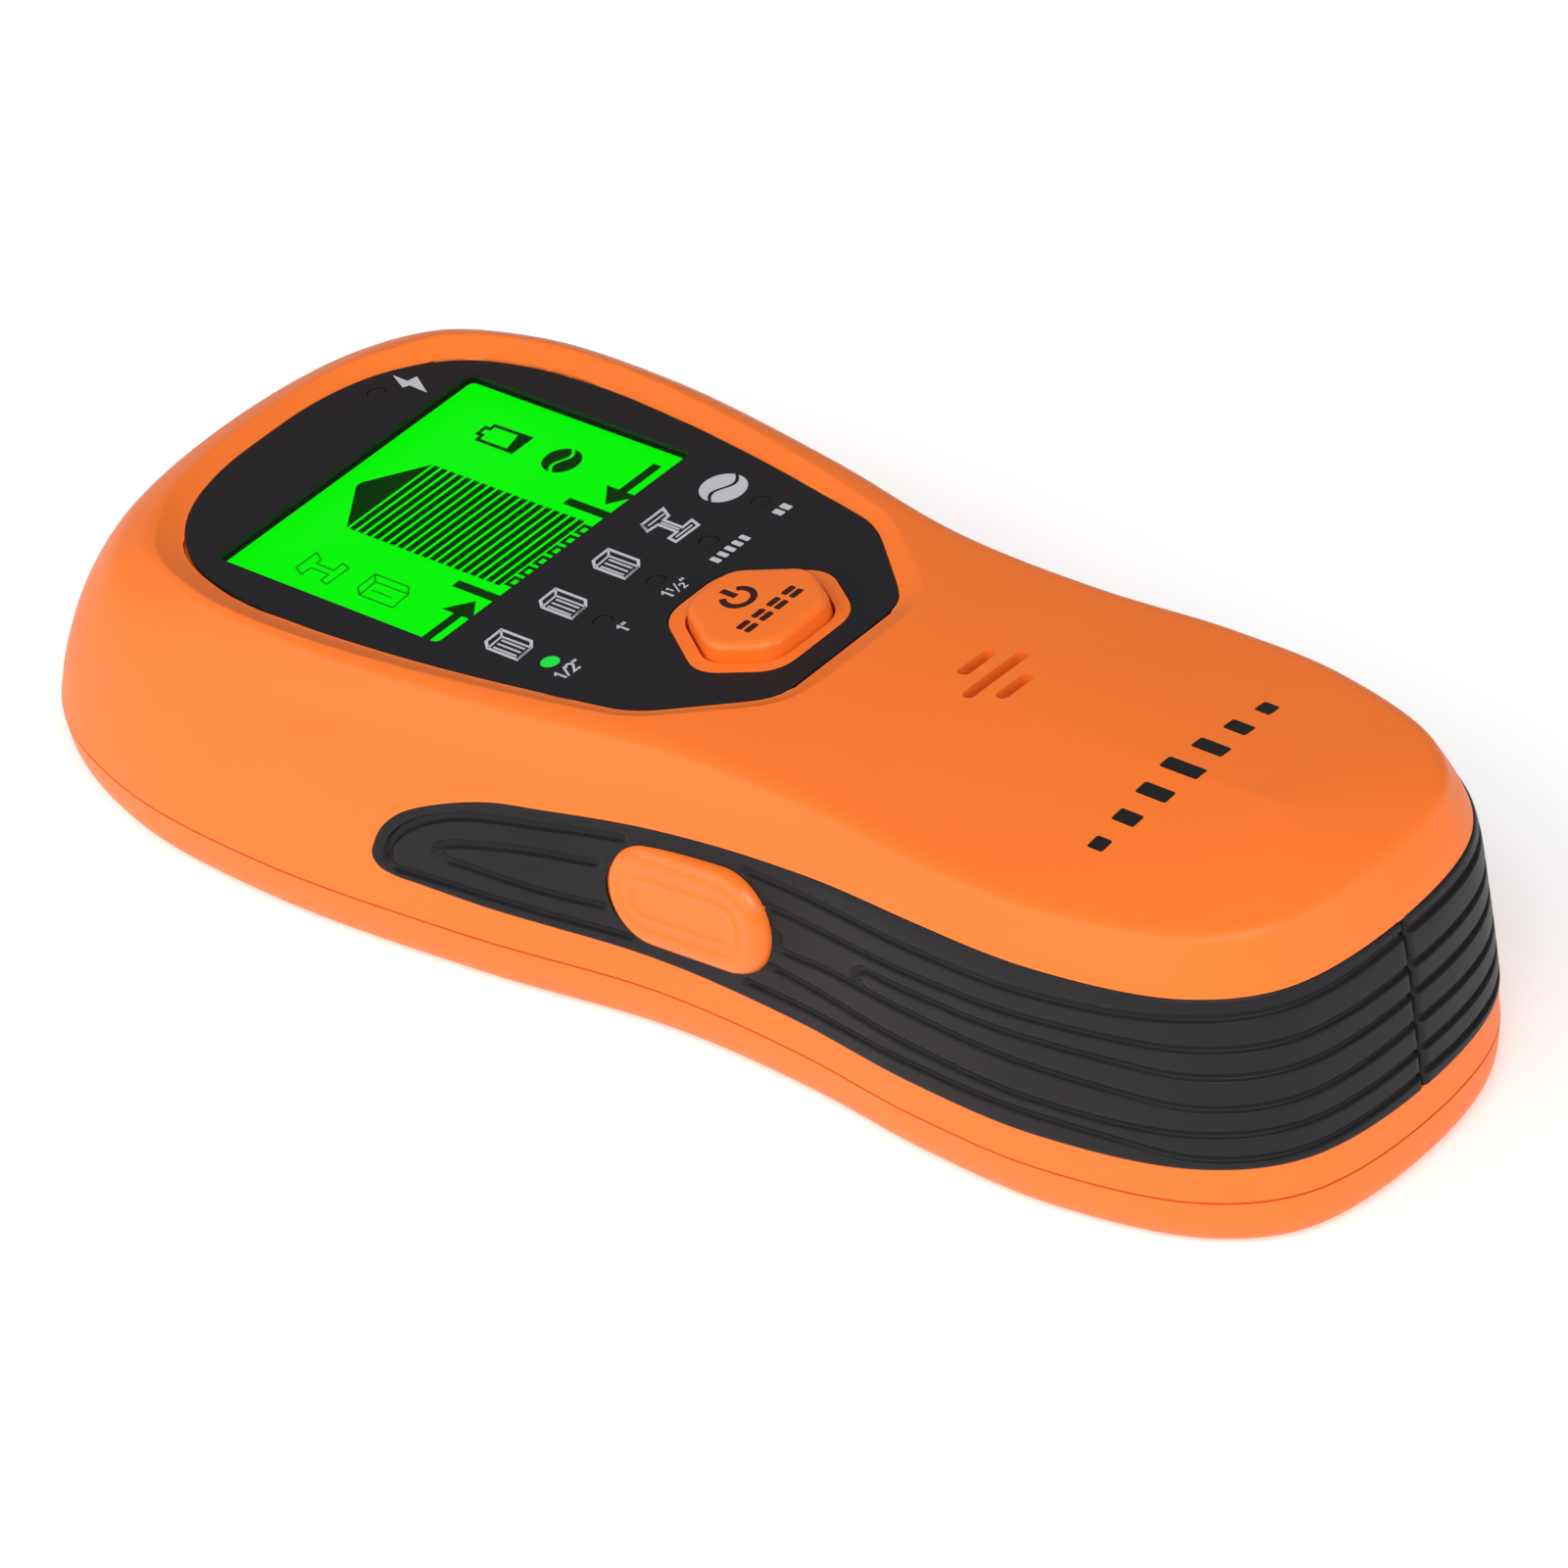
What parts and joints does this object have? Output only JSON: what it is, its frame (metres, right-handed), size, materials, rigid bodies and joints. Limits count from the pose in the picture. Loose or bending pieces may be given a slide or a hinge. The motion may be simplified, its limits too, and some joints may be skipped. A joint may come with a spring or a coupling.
{
  "type": "stud finder",
  "caption": "Handheld wall scanner with a waisted body, sloping display panel, rounded hexagonal mode button, side button and wrap-round rubber grip.",
  "frame": {"origin": "bottom centre of the bounding box, on the sensing face", "axes": "+Y towards the head with the display, +X to the user's right, +Z out of the display side; it lies on its sensing face"},
  "size_m": [0.0724, 0.1652, 0.038],
  "materials": {
    "orange_housing": "fine satin moulded texture",
    "orange_button": "smooth satin",
    "grip_rubber": "fine matt texture with moulded lines",
    "panel_black": "satin with light grey printed symbols",
    "window_clear": "clear",
    "lcd_green": "lit green with dark segments",
    "white_plastic": "satin",
    "light_pipe": "smoked clear",
    "black_plastic": "moulded",
    "board_green": "solder mask",
    "steel": "zinc plated",
    "battery_can": "printed foil",
    "lead_red": "insulation",
    "lead_black": "insulation",
    "foam": "closed-cell foam"
  },
  "bodies": {
    "case": {"front_housing": "orange_housing", "rear_cover": "orange_housing", "grip_left": "grip_rubber", "grip_right": "grip_rubber", "display_panel": "panel_black", "display_window": "window_clear", "lcd_glass": "lcd_green", "backlight": "white_plastic", "contact_strip": "black_plastic", "lcd_frame": "black_plastic", "main_board": "board_green", "sensor_board": "board_green", "mode_switch": "black_plastic", "side_switch": "black_plastic", "microcontroller": "black_plastic", "crystal": "steel", "capacitor_1": "black_plastic", "capacitor_2": "black_plastic", "buzzer": "black_plastic", "board_link": "black_plastic", "battery": "battery_can", "battery_snap": "black_plastic", "battery_lead_red": "lead_red", "battery_lead_black": "lead_black", "buzzer_lead_red": "lead_red", "buzzer_lead_black": "lead_black", "led_1": "white_plastic", "light_pipe_1": "light_pipe", "led_2": "white_plastic", "light_pipe_2": "light_pipe", "led_3": "white_plastic", "light_pipe_3": "light_pipe", "led_4": "white_plastic", "light_pipe_4": "light_pipe", "led_5": "white_plastic", "light_pipe_5": "light_pipe", "led_6": "white_plastic", "light_pipe_6": "light_pipe", "board_screw_1": "steel", "case_screw_1": "steel", "board_screw_2": "steel", "case_screw_2": "steel", "board_screw_3": "steel", "case_screw_3": "steel", "board_screw_4": "steel", "case_screw_4": "steel"},
    "mode_key": {"mode_button": "orange_button", "mode_switch_plunger": "black_plastic"},
    "side_key": {"side_button": "orange_button", "side_switch_plunger": "black_plastic"},
    "door": {"battery_door": "orange_housing", "battery_pad": "foam"}
  },
  "joints": [
    {"name": "mode_press", "type": "slide", "parent": "case", "child": "mode_key", "axis": [0, -0.0921, -0.9957], "range_m": [0, 0.0007], "stiffness_N_per_m": 900},
    {"name": "side_press", "type": "slide", "parent": "case", "child": "side_key", "axis": [0.9877, 0, -0.1564], "range_m": [0, 0.0008], "stiffness_N_per_m": 900},
    {"name": "door_swing", "type": "hinge", "parent": "case", "child": "door", "pos_m": [0, -0.0734, 0], "axis": [-1, 0, 0], "range_deg": [0, 80]}
  ]
}
